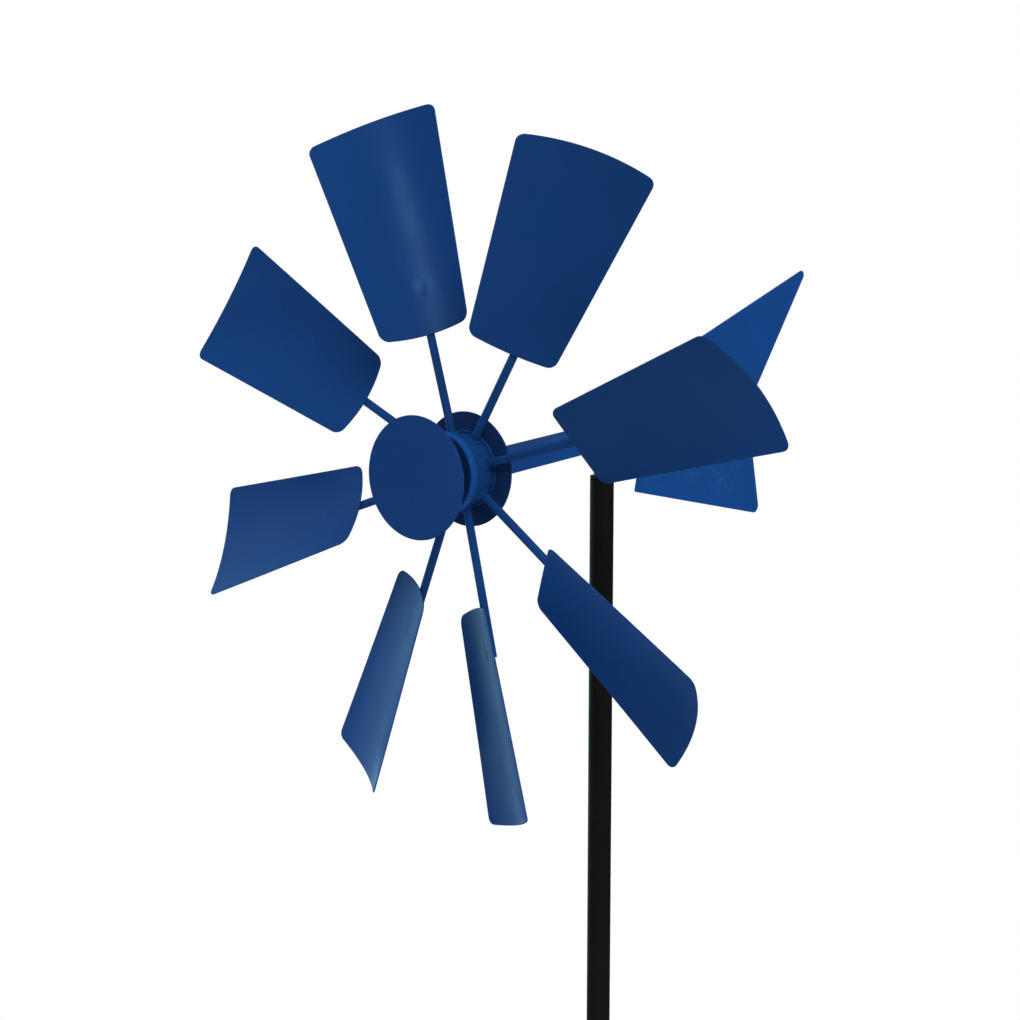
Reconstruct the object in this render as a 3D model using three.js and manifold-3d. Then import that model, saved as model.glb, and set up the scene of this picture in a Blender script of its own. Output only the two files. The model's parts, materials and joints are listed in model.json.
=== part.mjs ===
// Garden windmill: an eight-bladed steel rotor on a swinging head with a tail fin, on a stake post.
// Millimetres, +Z up. The origin is on the post's axis at ground level. The rotor faces -Y and the
// tail points to +Y.
import * as THREE from 'three';
import { mergeVertices } from 'three/addons/utils/BufferGeometryUtils.js';
import Module from 'manifold-3d';

const wasm = await Module();
wasm.setup();

// ---------------------------------------------------------------- driving dimensions
const GAP = 0.3; // between pieces that touch
const CUT = 5; // how far a cutting solid runs past the piece it cuts
const WELD = 1e-4; // corners nearer than this are one corner

const AXIS_HEIGHT = 1200; // rotor axis above the ground
const SPOKE_PLANE = -203; // plane of the spokes' axes, in front of the post's axis

// Rotor. Angles run clockwise from the top, seen from the front. The spokes and blades are welded
// by hand, so neither the spacing, the pitch, the reach along the spoke, the set across it nor the
// lean against it is even. A blade's middle line lies its set clockwise of its spoke, and its tip
// leans clockwise.
const BLADES = [
  { angle: -15.9, pitch: 30.5, reach: 1, set: -6.4, lean: -2.4 },
  { angle: 30.1, pitch: 29.8, reach: 2, set: -8.6, lean: -3.3 },
  { angle: 74.1, pitch: 31, reach: 12, set: -5.5, lean: -4.5 },
  { angle: 126, pitch: 25, reach: 2, set: 3, lean: -2.1 },
  { angle: 167.2, pitch: 32.6, reach: 2, set: 1.6, lean: -4.8 },
  { angle: 201, pitch: 31.3, reach: -0.5, set: 2.8, lean: -2.1 },
  { angle: 249.8, pitch: 33.8, reach: 2.5, set: 1.3, lean: 2.2 },
  { angle: 295.1, pitch: 18.3, reach: 0.5, set: 1.9, lean: 0 },
];
const TIP_RADIUS = 300;
const ROOT_RADIUS = 120.4;
const TIP_WIDTH = 119;
const ROOT_WIDTH = 79;
const TIP_BOW = 5; // how far the tip edge bows outwards
const ROOT_BOW = 4.2; // how far the root edge bows towards the hub
const TIP_SKEW = 3.8; // degrees, the tip edge is cut off square with its clockwise corner further out
const LEAN_CENTRE = 210; // a leaning blade turns about this point of its middle line
const BLADE_BEND_RADIUS = 182;
const BLADE_SHEET = 1.2;
const BLADE_CORNER = 7;
const SPOKE_DIAMETER = 7.3;
const SPOKE_LAP = 40; // length of spoke welded along the blade's back
const BLADE_CUTTER = 60; // deeper than the blade's bend

// Hub. Stations are measured backwards from the spoke plane.
const BARREL_RADIUS = 31.5;
const BARREL_FRONT = -17;
const BARREL_BACK = 7.5;
const BUSH_RADIUS = 14;
const BUSH_LENGTH = 10;
const BUSH_FLANGE_RADIUS = 17;
const BUSH_FLANGE = 1.5;
const BUSH_SHOULDER = 1.5; // stops the bush inside the barrel
const FLANGE_RADIUS = 36;
const FLANGE_WIDTH = 9.3;
const NOSE_RADIUS = 18.7;
const NOSE_WALL = 2;
const FRONT_DISC_RADIUS = 52.5;
const FRONT_DISC_FACE = -58;
const REAR_DISC_RADIUS = 49.5;
const DISC_SHEET = 1.5;
const DISC_EDGE = 0.5;

// Axle: an M8 bolt from inside the boom.
const AXLE_RADIUS = 4;
const AXLE_TIP = -32;
const HEX_ACROSS_FLATS = 13;
const BOLT_HEAD = 5.3;
const LOCK_NUT = 8;
const WASHER = 1.6;
const WASHER_RADIUS = 8;
const SPACER_RADIUS = 6.5;
const RUNNING = 0.3; // radial clearance on the axle and on the pivot pin

// Head. Boom stations run along the boom from the spoke plane; heights are across it.
const BOOM_SIDE = 21;
const BOOM_WALL = 1.5;
const BOOM_START = 17;
const BOOM_END = 385;
const BOOM_RISE = 2.9; // degrees, upwards to the tail
const BOOM_DROP = 1.8; // the boom's middle line starts this far below the rotor's axis
const PLUG_FLANGE = 3;
const PLUG_LENGTH = 18;
const PLUG_SIDE = 16.2;
const FIN_SHEET = 2;
const FIN_CORNERS = [
  { along: 252, up: -61.3, radius: 2.5 },
  { along: 468, up: -121.9, radius: 7 },
  { along: 448.2, up: -9.2, radius: 2 },
  { along: 566.2, up: 122.7, radius: 4.5 },
  { along: 291.2, up: 52.9, radius: 2.5 },
];
const SLIT_START = 266;
const TAIL_BOLTS = [295, 328, 361];
const TAIL_BOLT_RADIUS = 3;
const TAIL_HEX = 10;
const TAIL_HEAD = 4;
const TAIL_NUT = 5;
const TAIL_THREAD = 2.5; // thread standing past the nut

// Pivot. Heights are measured from the rotor's axis.
const SLEEVE_BOTTOM = -24;
const SLEEVE_TOP = 28;
const SLEEVE_RADIUS = 8;
const SLEEVE_BORE = 6.5;
const PIVOT_BUSH_LENGTH = 14;
const PIVOT_BUSH_FLANGE = 2;
const PIVOT_PIN_TOP = 43.5;
const PIN_HEAD = 5;
const PIN_HEAD_RADIUS = 6.5;
const PIN_CHAMFER = 1;
const POST_PLUG_FLANGE = 3;
const POST_PLUG_LENGTH = 25;

// Post and foot
const POST_RADIUS = 11.1;
const POST_WALL = 1.5;
const POST_JOINT = 600;
const POST_FOOT = -30;
const JOINER_LENGTH = 110;
const JOINER_WALL = 1.8;
const JOINER_SCREW_OFFSET = 28;
const SCREW_RADIUS = 2.4;
const SCREW_HEAD_RADIUS = 4.6;
const SCREW_HEAD = 2.6;
const SCREW_LENGTH = 10;
const SCREW_DOME = [[0.94, 0.5], [0.65, 0.85], [0, 1]]; // shares of the head's radius and height
const STEP_LENGTH = 84;
const STEP_START = 2;
const STEP_WIDTH = 40;
const STEP_PLATE = 5;
const STEP_CORNER = 8;
const STEP_SEAM_CORNER = 1;
const PRONG_OFFSET = 70;
const PRONG_RADIUS = 5;
const PRONG_DEPTH = 230;
const PRONG_TIP = 32;
const SPIKE_DEPTH = 250;
const SPIKE_LAP = 26;
const SPIKE_COLLAR = 60; // straight part below the post
const TIP_FLAT = 1.2;

const ROUND = 40; // segments round a large turned piece
const SMALL_ROUND = 20; // round an axle, washer or nut
const BUSH_ROUND = 28;
const ROD_ROUND = 16; // round a spoke or screw
const DISC_ROUND = 56;
const BEND_STEPS = 14; // chords across a blade's bend
const CORNER_STEPS = 5; // chords round a plate's corner
const BOW_STEPS = 8; // chords along a blade's bowed end
const degrees = THREE.MathUtils.degToRad;

// ---------------------------------------------------------------- materials
const finishes = {
  bladeBlue: { color: 0x153567, roughness: 0.5, metalness: 0.0 },
  hubBlue: { color: 0x11346a, roughness: 0.5, metalness: 0.0 },
  tailBlue: { color: 0x104285, roughness: 0.45, metalness: 0.0 },
  postBlack: { color: 0x121212, roughness: 0.55, metalness: 0.0 },
  zinc: { color: 0xb4b8bc, roughness: 0.35, metalness: 1.0 },
  nylon: { color: 0xe6e3d8, roughness: 0.5, metalness: 0.0 },
};

function piece(name, geometry, finish) {
  const mesh = new THREE.Mesh(geometry, new THREE.MeshStandardMaterial(finishes[finish]));
  mesh.name = name;
  return mesh;
}

// ---------------------------------------------------------------- joining and cutting
function toSolid(geometry) {
  const bare = geometry.clone();
  bare.deleteAttribute('normal');
  bare.deleteAttribute('uv');
  const merged = mergeVertices(bare, WELD);
  const corners = merged.index.array;
  const kept = [];
  for (let i = 0; i < corners.length; i += 3) {
    const [a, b, c] = [corners[i], corners[i + 1], corners[i + 2]];
    if (a !== b && b !== c && c !== a) kept.push(a, b, c);
  }
  const vertProperties = new Float32Array(merged.attributes.position.array);
  const triVerts = new Uint32Array(kept);
  return new wasm.Manifold(new wasm.Mesh({ numProp: 3, vertProperties, triVerts }));
}

function toGeometry(solid) {
  const mesh = solid.getMesh();
  const geometry = new THREE.BufferGeometry();
  geometry.setAttribute('position', new THREE.BufferAttribute(mesh.vertProperties, 3));
  geometry.setIndex(new THREE.BufferAttribute(mesh.triVerts, 1));
  geometry.computeVertexNormals();
  return geometry;
}

function cut(geometry, ...tools) {
  const rest = tools.reduce((body, tool) => body.subtract(toSolid(tool)), toSolid(geometry));
  return toGeometry(rest);
}

function common(geometry, tool) {
  return toGeometry(toSolid(geometry).intersect(toSolid(tool)));
}

// ---------------------------------------------------------------- basic shapes
// A profile is a list of [radius, station] pairs, walked with the material on its left.
function turned(profile, segments = ROUND) {
  const points = profile.map(([radius, station]) => new THREE.Vector2(radius, station));
  return new THREE.LatheGeometry(points, segments);
}

function tubeProfile(outer, inner, from, to) {
  return [[inner, from], [outer, from], [outer, to], [inner, to], [inner, from]];
}

function rodProfile(radius, from, to) {
  return [[0, from], [radius, from], [radius, to], [0, to]];
}

// Turns a piece made about Y so that its stations run up Z.
function upright(geometry) {
  return geometry.rotateX(degrees(90));
}

// Turns a piece made about Y so that its stations run along X.
function sideways(geometry) {
  return geometry.rotateZ(degrees(-90));
}

function box(width, depth, height, x, y, z) {
  return new THREE.BoxGeometry(width, depth, height).translate(x, y, z);
}

// An outline with its corners rounded: each corner is { x, y, radius }, walked anticlockwise.
function roundedOutline(corners) {
  const shape = new THREE.Shape();
  corners.forEach((corner, i) => {
    const here = new THREE.Vector2(corner.x, corner.y);
    const before = corners[(i + corners.length - 1) % corners.length];
    const after = corners[(i + 1) % corners.length];
    const back = new THREE.Vector2(before.x, before.y).sub(here).normalize();
    const ahead = new THREE.Vector2(after.x, after.y).sub(here).normalize();
    const halfAngle = Math.acos(back.dot(ahead)) / 2;
    const reach = corner.radius / Math.tan(halfAngle);
    const start = back.clone().multiplyScalar(reach).add(here);
    const end = ahead.clone().multiplyScalar(reach).add(here);
    const middle = back.clone().add(ahead).normalize();
    const centre = middle.multiplyScalar(corner.radius / Math.sin(halfAngle)).add(here);
    const from = Math.atan2(start.y - centre.y, start.x - centre.x);
    const to = Math.atan2(end.y - centre.y, end.x - centre.x);
    const clockwise = back.cross(ahead) > 0;
    if (i === 0) shape.moveTo(start.x, start.y);
    else shape.lineTo(start.x, start.y);
    shape.absarc(centre.x, centre.y, corner.radius, from, to, clockwise);
  });
  return shape;
}

function extruded(shape, depth, curveSegments = CORNER_STEPS) {
  return new THREE.ExtrudeGeometry(shape, { depth, bevelEnabled: false, curveSegments });
}

// A hexagonal prism along Y with flats above and below.
function hexProfile(acrossFlats, from, to) {
  return turned(rodProfile(acrossFlats / Math.sqrt(3), from, to), 6).rotateY(degrees(90));
}

function nut(acrossFlats, boreRadius, from, to) {
  const bore = turned(rodProfile(boreRadius, from - CUT, to + CUT), SMALL_ROUND);
  return cut(hexProfile(acrossFlats, from, to), bore);
}

// A headed bolt along Y: the head's seat is at station `seat` and the thread ends at `tip`.
function headedBolt(radius, acrossFlats, head, seat, tip) {
  const away = Math.sign(seat - tip);
  const [low, high] = away > 0 ? [seat, seat + head] : [seat - head, seat];
  const shankEnd = seat + (away * head) / 2;
  const [shankLow, shankHigh] = [Math.min(tip, shankEnd), Math.max(tip, shankEnd)];
  const shank = turned(rodProfile(radius, shankLow, shankHigh), SMALL_ROUND);
  return toGeometry(toSolid(hexProfile(acrossFlats, low, high)).add(toSolid(shank)));
}

// ---------------------------------------------------------------- rotor
// In a blade's own frame, Y runs out along its spoke, X across the blade and Z towards its hollow
// side, with the spoke's axis as the Y axis.
function bladeGeometry() {
  const backFace = SPOKE_DIAMETER / 2 + GAP;
  const centre = backFace + BLADE_BEND_RADIUS;
  const inner = BLADE_BEND_RADIUS - BLADE_SHEET;
  const halfAngle = TIP_WIDTH / BLADE_BEND_RADIUS;
  const down = -Math.PI / 2;
  const band = new THREE.Shape();
  band.absarc(0, centre, BLADE_BEND_RADIUS, down - halfAngle, down + halfAngle, false);
  band.absarc(0, centre, inner, down + halfAngle, down - halfAngle, true);
  const bandStart = ROOT_RADIUS - ROOT_BOW - CUT;
  const sheet = extruded(band, TIP_RADIUS + 3 * CUT - bandStart, BEND_STEPS);
  sheet.rotateX(degrees(-90)).scale(1, 1, -1).translate(0, bandStart, 0);
  flip(sheet);
  const outline = extruded(bladeOutline(), BLADE_CUTTER).translate(0, 0, -CUT);
  return common(sheet, outline);
}

// A blade's flat outline: straight sides and bowed ends.
function bladeOutline() {
  const chord = (width) => BLADE_BEND_RADIUS * Math.sin(width / 2 / BLADE_BEND_RADIUS);
  const [root, tip] = [chord(ROOT_WIDTH), chord(TIP_WIDTH)];
  const slope = tip * Math.tan(degrees(TIP_SKEW));
  const square = roundedOutline([
    { x: -root, y: ROOT_RADIUS, radius: BLADE_CORNER },
    { x: root, y: ROOT_RADIUS, radius: BLADE_CORNER },
    { x: tip, y: TIP_RADIUS + slope, radius: BLADE_CORNER },
    { x: -tip, y: TIP_RADIUS - slope, radius: BLADE_CORNER },
  ]);
  const points = square.getPoints(CORNER_STEPS);
  const stepped = points.flatMap((point, i) => {
    const next = points[(i + 1) % points.length];
    const isEnd = Math.abs(next.x - point.x) > ROOT_WIDTH / 2;
    const steps = isEnd ? BOW_STEPS : 1;
    return Array.from({ length: steps }, (_, k) => point.clone().lerp(next, k / steps));
  });
  return new THREE.Shape(stepped.map(({ x, y }) => {
    const rise = THREE.MathUtils.clamp((y - ROOT_RADIUS) / (TIP_RADIUS - ROOT_RADIUS), 0, 1);
    const share = Math.min(1, Math.abs(x) / THREE.MathUtils.lerp(root, tip, rise));
    const bow = (1 - share * share) * THREE.MathUtils.lerp(-ROOT_BOW, TIP_BOW, rise);
    return new THREE.Vector2(x, y + bow);
  }));
}

// Turns a mirrored geometry's faces outwards again.
function flip(geometry) {
  const position = geometry.attributes.position;
  const swapped = position.array.slice();
  for (let i = 0; i < position.count; i += 3) {
    for (let axis = 0; axis < 3; axis += 1) {
      swapped[3 * (i + 1) + axis] = position.array[3 * (i + 2) + axis];
      swapped[3 * (i + 2) + axis] = position.array[3 * (i + 1) + axis];
    }
  }
  position.array.set(swapped);
}

function arm({ angle, pitch, reach, set, lean }, number) {
  const radial = new THREE.Group();
  radial.rotation.set(0, degrees(angle), 0);
  const pitched = new THREE.Group();
  const out = new THREE.Vector3(0, 0, 1);
  const across = new THREE.Vector3(Math.cos(degrees(pitch)), Math.sin(degrees(pitch)), 0);
  const hollow = new THREE.Vector3().crossVectors(across, out);
  pitched.quaternion.setFromRotationMatrix(new THREE.Matrix4().makeBasis(across, out, hollow));
  const blade = bladeGeometry().translate(0, -LEAN_CENTRE, 0);
  blade.rotateZ(-degrees(lean)).translate(set, LEAN_CENTRE + reach, 0);
  pitched.add(piece(`blade_${number}`, blade, 'bladeBlue'));
  const inner = BARREL_RADIUS + GAP;
  const outer = ROOT_RADIUS + reach + SPOKE_LAP;
  const spoke = turned(rodProfile(SPOKE_DIAMETER / 2, inner, outer), ROD_ROUND);
  pitched.add(piece(`spoke_${number}`, spoke, 'bladeBlue'));
  radial.add(pitched);
  return radial;
}

function hubBarrel() {
  const seat = BUSH_RADIUS + GAP;
  const shoulder = BUSH_RADIUS - BUSH_SHOULDER;
  const frontSeat = BARREL_FRONT + BUSH_LENGTH + GAP;
  const backSeat = BARREL_BACK - BUSH_LENGTH - GAP;
  return turned([
    [seat, BARREL_FRONT],
    [BARREL_RADIUS, BARREL_FRONT],
    [BARREL_RADIUS, BARREL_BACK],
    [seat, BARREL_BACK],
    [seat, backSeat],
    [shoulder, backSeat],
    [shoulder, frontSeat],
    [seat, frontSeat],
    [seat, BARREL_FRONT],
  ]);
}

function disc(radius, hole, front) {
  const back = front + DISC_SHEET;
  const edge = radius - DISC_EDGE;
  const outside = [[edge, front], [radius, front + DISC_EDGE], [radius, back - DISC_EDGE], [edge, back]];
  if (hole === 0) return turned([[0, front], ...outside, [0, back]], DISC_ROUND);
  return turned([[hole, front], ...outside, [hole, back], [hole, front]], DISC_ROUND);
}

// A flanged bush with its flange at the front, made about Y from station 0 backwards.
function flangedBush({ radius, length, flangeRadius, flange, bore }) {
  return turned([
    [bore, -flange],
    [flangeRadius, -flange],
    [flangeRadius, 0],
    [radius, 0],
    [radius, length],
    [bore, length],
    [bore, -flange],
  ], BUSH_ROUND);
}

function hubBush() {
  return flangedBush({
    radius: BUSH_RADIUS,
    length: BUSH_LENGTH - GAP,
    flangeRadius: BUSH_FLANGE_RADIUS,
    flange: BUSH_FLANGE,
    bore: AXLE_RADIUS + RUNNING,
  });
}

function hub() {
  const group = new THREE.Group();
  group.add(piece('hub_barrel', hubBarrel(), 'hubBlue'));
  const flangeBack = BARREL_FRONT - GAP;
  const flangeFront = flangeBack - FLANGE_WIDTH;
  const flangeBore = NOSE_RADIUS + GAP;
  const flange = turned(tubeProfile(FLANGE_RADIUS, flangeBore, flangeFront, flangeBack));
  group.add(piece('hub_flange', flange, 'tailBlue'));
  const discBack = FRONT_DISC_FACE + DISC_SHEET;
  const noseBack = flangeBack - BUSH_FLANGE - 2 * GAP;
  const nose = turned(tubeProfile(NOSE_RADIUS, NOSE_RADIUS - NOSE_WALL, discBack + GAP, noseBack));
  group.add(piece('nose_tube', nose, 'hubBlue'));
  group.add(piece('front_disc', disc(FRONT_DISC_RADIUS, 0, FRONT_DISC_FACE), 'hubBlue'));
  const rearDisc = disc(REAR_DISC_RADIUS, BUSH_FLANGE_RADIUS + GAP, BARREL_BACK + GAP);
  group.add(piece('rear_disc', rearDisc, 'hubBlue'));
  const frontBush = hubBush().translate(0, BARREL_FRONT - GAP, 0);
  group.add(piece('hub_bush_front', frontBush, 'nylon'));
  const rearBush = hubBush().rotateX(degrees(180)).translate(0, BARREL_BACK + GAP, 0);
  group.add(piece('hub_bush_rear', rearBush, 'nylon'));
  return group;
}

function rotor() {
  const group = new THREE.Group();
  group.add(hub());
  BLADES.forEach((blade, i) => group.add(arm(blade, i + 1)));
  group.position.set(0, SPOKE_PLANE, AXIS_HEIGHT);
  return group;
}

// ---------------------------------------------------------------- axle, in the rotor's frame
function washer(front) {
  return turned(tubeProfile(WASHER_RADIUS, AXLE_RADIUS + RUNNING, front, front + WASHER), SMALL_ROUND);
}

const boomHeightAt = (station) => Math.tan(degrees(BOOM_RISE)) * station - BOOM_DROP;

function boomPlug() {
  const front = BOOM_START - GAP - PLUG_FLANGE;
  const back = BOOM_START + PLUG_LENGTH;
  const height = boomHeightAt((BOOM_START + back) / 2);
  const flange = box(BOOM_SIDE, PLUG_FLANGE, BOOM_SIDE, 0, front + PLUG_FLANGE / 2, height);
  const length = back - front - PLUG_FLANGE / 2;
  const block = box(PLUG_SIDE, length, PLUG_SIDE, 0, back - length / 2, height);
  const bore = turned(rodProfile(AXLE_RADIUS + RUNNING, front - CUT, back + CUT), SMALL_ROUND);
  return toGeometry(toSolid(flange).add(toSolid(block)).subtract(toSolid(bore)));
}

function axle() {
  const group = new THREE.Group();
  group.add(piece('boom_front_plug', boomPlug(), 'zinc'));
  const seat = BOOM_START + PLUG_LENGTH + GAP;
  const bolt = headedBolt(AXLE_RADIUS, HEX_ACROSS_FLATS, BOLT_HEAD, seat, AXLE_TIP);
  group.add(piece('axle_bolt', bolt, 'zinc'));
  const rearWasher = BARREL_BACK + 2 * GAP + BUSH_FLANGE;
  group.add(piece('rear_thrust_washer', washer(rearWasher), 'zinc'));
  const spacerFront = rearWasher + WASHER + GAP;
  const spacerBack = BOOM_START - PLUG_FLANGE - 2 * GAP;
  const spacer = tubeProfile(SPACER_RADIUS, AXLE_RADIUS + RUNNING, spacerFront, spacerBack);
  group.add(piece('axle_spacer', turned(spacer, SMALL_ROUND), 'zinc'));
  const frontWasher = BARREL_FRONT - 2 * GAP - BUSH_FLANGE - WASHER;
  group.add(piece('front_thrust_washer', washer(frontWasher), 'zinc'));
  const nutBack = frontWasher - GAP;
  const lockNut = nut(HEX_ACROSS_FLATS, AXLE_RADIUS + RUNNING, nutBack - LOCK_NUT, nutBack);
  group.add(piece('hub_lock_nut', lockNut, 'zinc'));
  group.position.set(0, SPOKE_PLANE, AXIS_HEIGHT);
  return group;
}

// ---------------------------------------------------------------- boom and tail, along the boom
const toBoomFrame = new THREE.Matrix4()
  .makeTranslation(0, SPOKE_PLANE, AXIS_HEIGHT - BOOM_DROP)
  .multiply(new THREE.Matrix4().makeRotationX(degrees(BOOM_RISE)))
  .invert();

function boomGeometry() {
  const middle = (BOOM_START + BOOM_END) / 2;
  const length = BOOM_END - BOOM_START + 2 * CUT;
  const inside = BOOM_SIDE - 2 * BOOM_WALL;
  const bar = box(BOOM_SIDE, length, BOOM_SIDE, 0, middle - CUT, 0);
  const bore = box(inside, length + 2 * CUT, inside, 0, middle, 0);
  const slit = box(FIN_SHEET + 2 * GAP, BOOM_END - SLIT_START + CUT, BOOM_SIDE + 2 * CUT,
    0, (BOOM_END + SLIT_START + CUT) / 2, 0);
  const trim = 2 * BOOM_SIDE;
  const frontCut = box(trim, trim, trim, 0, BOOM_START - trim / 2, 0);
  frontCut.translate(0, SPOKE_PLANE, AXIS_HEIGHT).applyMatrix4(toBoomFrame);
  const sleeveHole = upright(turned(rodProfile(SLEEVE_RADIUS + GAP, -trim, trim), BUSH_ROUND));
  sleeveHole.translate(0, 0, AXIS_HEIGHT).applyMatrix4(toBoomFrame);
  const boltHoles = TAIL_BOLTS.map((along) => boltHole(along));
  return cut(bar, bore, slit, frontCut, sleeveHole, ...boltHoles);
}

function boltHole(along) {
  const hole = turned(rodProfile(TAIL_BOLT_RADIUS + GAP, -BOOM_SIDE, BOOM_SIDE), SMALL_ROUND);
  return sideways(hole).translate(0, along, 0);
}

function finGeometry() {
  const corners = FIN_CORNERS.map(({ along, up, radius }) => ({ x: along, y: up, radius }));
  const plate = extruded(roundedOutline(corners), FIN_SHEET).translate(0, 0, -FIN_SHEET / 2);
  plate.rotateY(degrees(90)).rotateX(degrees(90));
  return cut(plate, ...TAIL_BOLTS.map((along) => boltHole(along)));
}

function tailFastener(along, number) {
  const group = new THREE.Group();
  const seat = BOOM_SIDE / 2 + GAP;
  const tip = -(seat + TAIL_NUT + TAIL_THREAD);
  const bolt = sideways(headedBolt(TAIL_BOLT_RADIUS, TAIL_HEX, TAIL_HEAD, seat, tip));
  group.add(piece(`tail_bolt_${number}`, bolt, 'zinc'));
  const tailNut = sideways(nut(TAIL_HEX, TAIL_BOLT_RADIUS + GAP, -seat - TAIL_NUT, -seat));
  group.add(piece(`tail_nut_${number}`, tailNut, 'zinc'));
  group.position.set(0, along, 0);
  return group;
}

function boomAndTail() {
  const group = new THREE.Group();
  group.add(piece('boom', boomGeometry(), 'tailBlue'));
  group.add(piece('tail_fin', finGeometry(), 'tailBlue'));
  TAIL_BOLTS.forEach((along, i) => group.add(tailFastener(along, i + 1)));
  group.rotation.set(degrees(BOOM_RISE), 0, 0);
  group.position.set(0, SPOKE_PLANE, AXIS_HEIGHT - BOOM_DROP);
  return group;
}

// ---------------------------------------------------------------- pivot, heights from the axis
function pivotBush() {
  return flangedBush({
    radius: SLEEVE_BORE - GAP,
    length: PIVOT_BUSH_LENGTH,
    flangeRadius: SLEEVE_RADIUS,
    flange: PIVOT_BUSH_FLANGE,
    bore: AXLE_RADIUS + RUNNING,
  });
}

function headPivot() {
  const group = new THREE.Group();
  const sleeve = turned(tubeProfile(SLEEVE_RADIUS, SLEEVE_BORE, SLEEVE_BOTTOM, SLEEVE_TOP), BUSH_ROUND);
  group.add(piece('yaw_sleeve', upright(sleeve), 'tailBlue'));
  const lower = upright(pivotBush()).translate(0, 0, SLEEVE_BOTTOM - GAP);
  group.add(piece('yaw_bush_bottom', lower, 'nylon'));
  const upper = upright(pivotBush().rotateX(degrees(180))).translate(0, 0, SLEEVE_TOP + GAP);
  group.add(piece('yaw_bush_top', upper, 'nylon'));
  group.position.set(0, 0, AXIS_HEIGHT);
  return group;
}

// The post's side of the pivot: everything here stands still.
const LOWER_WASHER_TOP = SLEEVE_BOTTOM - PIVOT_BUSH_FLANGE - 2 * GAP;
const PLUG_TOP = LOWER_WASHER_TOP - WASHER - GAP;
const POST_TOP = PLUG_TOP - POST_PLUG_FLANGE - GAP;

function postPivot() {
  const group = new THREE.Group();
  const bore = AXLE_RADIUS + GAP;
  const plugBottom = POST_TOP - POST_PLUG_LENGTH;
  const plug = turned([
    [bore, plugBottom],
    [POST_RADIUS - POST_WALL - GAP, plugBottom],
    [POST_RADIUS - POST_WALL - GAP, PLUG_TOP - POST_PLUG_FLANGE],
    [POST_RADIUS, PLUG_TOP - POST_PLUG_FLANGE],
    [POST_RADIUS, PLUG_TOP],
    [bore, PLUG_TOP],
    [bore, plugBottom],
  ], BUSH_ROUND);
  group.add(piece('post_top_plug', upright(plug), 'postBlack'));
  const headTop = plugBottom - GAP;
  const pin = turned([
    [0, headTop - PIN_HEAD],
    [PIN_HEAD_RADIUS, headTop - PIN_HEAD],
    [PIN_HEAD_RADIUS, headTop],
    [AXLE_RADIUS, headTop],
    [AXLE_RADIUS, PIVOT_PIN_TOP - PIN_CHAMFER],
    [AXLE_RADIUS - PIN_CHAMFER, PIVOT_PIN_TOP],
    [0, PIVOT_PIN_TOP],
  ], SMALL_ROUND);
  group.add(piece('pivot_pin', upright(pin), 'zinc'));
  const lowerWasher = upright(washer(LOWER_WASHER_TOP - WASHER));
  group.add(piece('pivot_thrust_washer', lowerWasher, 'zinc'));
  const upperWasher = SLEEVE_TOP + PIVOT_BUSH_FLANGE + 2 * GAP;
  group.add(piece('pivot_top_washer', upright(washer(upperWasher)), 'zinc'));
  const nutBottom = upperWasher + WASHER + GAP;
  const topNut = nut(HEX_ACROSS_FLATS, AXLE_RADIUS + RUNNING, nutBottom, nutBottom + LOCK_NUT);
  group.add(piece('pivot_lock_nut', upright(topNut), 'zinc'));
  group.position.set(0, 0, AXIS_HEIGHT);
  return group;
}

// ---------------------------------------------------------------- post
function screwHole(height) {
  const hole = turned(rodProfile(SCREW_RADIUS + GAP, 0, 2 * POST_RADIUS), ROD_ROUND);
  return hole.translate(0, 0, height);
}

function screwHeights() {
  return [POST_JOINT - JOINER_SCREW_OFFSET, POST_JOINT + JOINER_SCREW_OFFSET];
}

function postTube(bottom, top) {
  const tube = upright(turned(tubeProfile(POST_RADIUS, POST_RADIUS - POST_WALL, bottom, top)));
  const holes = screwHeights().filter((height) => height > bottom && height < top);
  return cut(tube, ...holes.map((height) => screwHole(height)));
}

function joinerTube() {
  const outer = POST_RADIUS - POST_WALL - GAP;
  const half = JOINER_LENGTH / 2;
  const profile = tubeProfile(outer, outer - JOINER_WALL, POST_JOINT - half, POST_JOINT + half);
  return cut(upright(turned(profile, BUSH_ROUND)), ...screwHeights().map((height) => screwHole(height)));
}

// A domed screw going in from the back of the post.
function joinerScrew(height) {
  const seat = POST_RADIUS + GAP;
  const dome = SCREW_DOME.map(([out, up]) => [SCREW_HEAD_RADIUS * out, seat + SCREW_HEAD * up]);
  const screw = turned([
    [0, seat - SCREW_LENGTH],
    [SCREW_RADIUS, seat - SCREW_LENGTH],
    [SCREW_RADIUS, seat],
    [SCREW_HEAD_RADIUS, seat],
    ...dome,
  ], ROD_ROUND);
  return screw.translate(0, 0, height);
}

function post() {
  const group = new THREE.Group();
  const top = AXIS_HEIGHT + POST_TOP;
  group.add(piece('post_upper', postTube(POST_JOINT + GAP / 2, top), 'postBlack'));
  group.add(piece('post_lower', postTube(POST_FOOT, POST_JOINT - GAP / 2), 'postBlack'));
  group.add(piece('post_joiner', joinerTube(), 'zinc'));
  const [low, high] = screwHeights();
  group.add(piece('joiner_screw_lower', joinerScrew(low), 'zinc'));
  group.add(piece('joiner_screw_upper', joinerScrew(high), 'zinc'));
  return group;
}

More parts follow.
